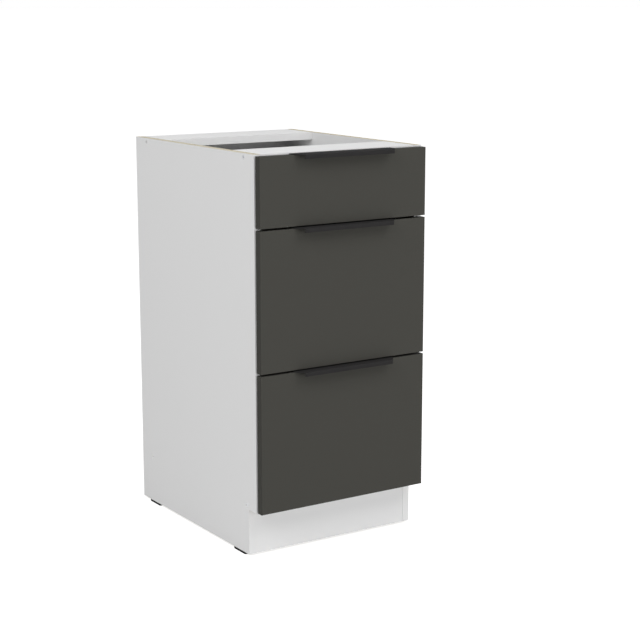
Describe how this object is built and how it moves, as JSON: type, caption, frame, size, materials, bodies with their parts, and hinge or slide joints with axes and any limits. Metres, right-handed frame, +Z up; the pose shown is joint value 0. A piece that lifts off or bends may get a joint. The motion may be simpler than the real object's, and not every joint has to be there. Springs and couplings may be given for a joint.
{
  "type": "base cabinet with drawers",
  "caption": "Narrow free-standing kitchen base cabinet of white board with stacked grey drawers on ball-bearing slides, black edge-pull handles, a recessed plinth and an open top.",
  "frame": {"origin": "on the floor, in the middle of the bounding box of the whole cabinet with its handles", "axes": "+Z up; the drawers face and open towards -Y; +X to the right of a person who faces the fronts"},
  "size_m": [0.4, 0.54, 0.82],
  "materials": {
    "white_board": "chipboard faced with matt white melamine, raw on its top edges",
    "thin_board": "3 mm fibreboard, white lacquered inside, raw brown outside",
    "grey_front": "board faced with matt olive-grey soft-touch laminate",
    "black_handle": "bent aluminium strip, matt black powder coat",
    "zinc_rail": "rolled steel, bright zinc plated",
    "ball_steel": "zinc plated cage strip with polished balls",
    "zinc_steel": "zinc plated screws and nails",
    "black_plastic": "moulded black plastic",
    "clear_bumper": "clear elastic bumper"
  },
  "bodies": {
    "carcass": {"back_nails": "zinc_steel", "back_panel": "thin_board", "bottom_panel": "white_board", "cabinet_rail_bottom_left": "zinc_rail", "cabinet_rail_bottom_right": "zinc_rail", "cabinet_rail_middle_left": "zinc_rail", "cabinet_rail_middle_right": "zinc_rail", "cabinet_rail_screws": "zinc_steel", "cabinet_rail_top_left": "zinc_rail", "cabinet_rail_top_right": "zinc_rail", "carcass_screws": "zinc_steel", "floor_glides": "black_plastic", "front_bumpers": "clear_bumper", "front_stretcher": "white_board", "plinth_board": "white_board", "rear_stretcher": "white_board", "side_left": "white_board", "side_right": "white_board"},
    "drawer_top": {"box_back_top": "white_board", "box_bottom_top": "thin_board", "box_front_top": "white_board", "box_screws_top": "zinc_steel", "box_side_top_left": "white_board", "box_side_top_right": "white_board", "drawer_rail_top_left": "zinc_rail", "drawer_rail_top_right": "zinc_rail", "front_screws_top": "zinc_steel", "front_top": "grey_front", "handle_top": "black_handle", "small_screws_top": "zinc_steel"},
    "cage_top_left": {"ball_cage_top_left": "ball_steel"},
    "cage_top_right": {"ball_cage_top_right": "ball_steel"},
    "drawer_middle": {"box_back_middle": "white_board", "box_bottom_middle": "thin_board", "box_front_middle": "white_board", "box_screws_middle": "zinc_steel", "box_side_middle_left": "white_board", "box_side_middle_right": "white_board", "drawer_rail_middle_left": "zinc_rail", "drawer_rail_middle_right": "zinc_rail", "front_middle": "grey_front", "front_screws_middle": "zinc_steel", "handle_middle": "black_handle", "small_screws_middle": "zinc_steel"},
    "cage_middle_left": {"ball_cage_middle_left": "ball_steel"},
    "cage_middle_right": {"ball_cage_middle_right": "ball_steel"},
    "drawer_bottom": {"box_back_bottom": "white_board", "box_bottom_bottom": "thin_board", "box_front_bottom": "white_board", "box_screws_bottom": "zinc_steel", "box_side_bottom_left": "white_board", "box_side_bottom_right": "white_board", "drawer_rail_bottom_left": "zinc_rail", "drawer_rail_bottom_right": "zinc_rail", "front_bottom": "grey_front", "front_screws_bottom": "zinc_steel", "handle_bottom": "black_handle", "small_screws_bottom": "zinc_steel"},
    "cage_bottom_left": {"ball_cage_bottom_left": "ball_steel"},
    "cage_bottom_right": {"ball_cage_bottom_right": "ball_steel"}
  },
  "joints": [
    {"name": "slide_top", "type": "slide", "parent": "carcass", "child": "drawer_top", "axis": [0, -1, 0], "range_m": [0, 0.32]},
    {"name": "cage_run_top_left", "type": "slide", "parent": "carcass", "child": "cage_top_left", "axis": [0, -1, 0], "range_m": [0, 0.16]},
    {"name": "cage_run_top_right", "type": "slide", "parent": "carcass", "child": "cage_top_right", "axis": [0, -1, 0], "range_m": [0, 0.16]},
    {"name": "slide_middle", "type": "slide", "parent": "carcass", "child": "drawer_middle", "axis": [0, -1, 0], "range_m": [0, 0.32]},
    {"name": "cage_run_middle_left", "type": "slide", "parent": "carcass", "child": "cage_middle_left", "axis": [0, -1, 0], "range_m": [0, 0.16]},
    {"name": "cage_run_middle_right", "type": "slide", "parent": "carcass", "child": "cage_middle_right", "axis": [0, -1, 0], "range_m": [0, 0.16]},
    {"name": "slide_bottom", "type": "slide", "parent": "carcass", "child": "drawer_bottom", "axis": [0, -1, 0], "range_m": [0, 0.32]},
    {"name": "cage_run_bottom_left", "type": "slide", "parent": "carcass", "child": "cage_bottom_left", "axis": [0, -1, 0], "range_m": [0, 0.16]},
    {"name": "cage_run_bottom_right", "type": "slide", "parent": "carcass", "child": "cage_bottom_right", "axis": [0, -1, 0], "range_m": [0, 0.16]}
  ],
  "couplings": [
    {"joint": "cage_run_top_left", "follows": "slide_top", "ratio": 0.5},
    {"joint": "cage_run_top_right", "follows": "slide_top", "ratio": 0.5},
    {"joint": "cage_run_middle_left", "follows": "slide_middle", "ratio": 0.5},
    {"joint": "cage_run_middle_right", "follows": "slide_middle", "ratio": 0.5},
    {"joint": "cage_run_bottom_left", "follows": "slide_bottom", "ratio": 0.5},
    {"joint": "cage_run_bottom_right", "follows": "slide_bottom", "ratio": 0.5}
  ]
}
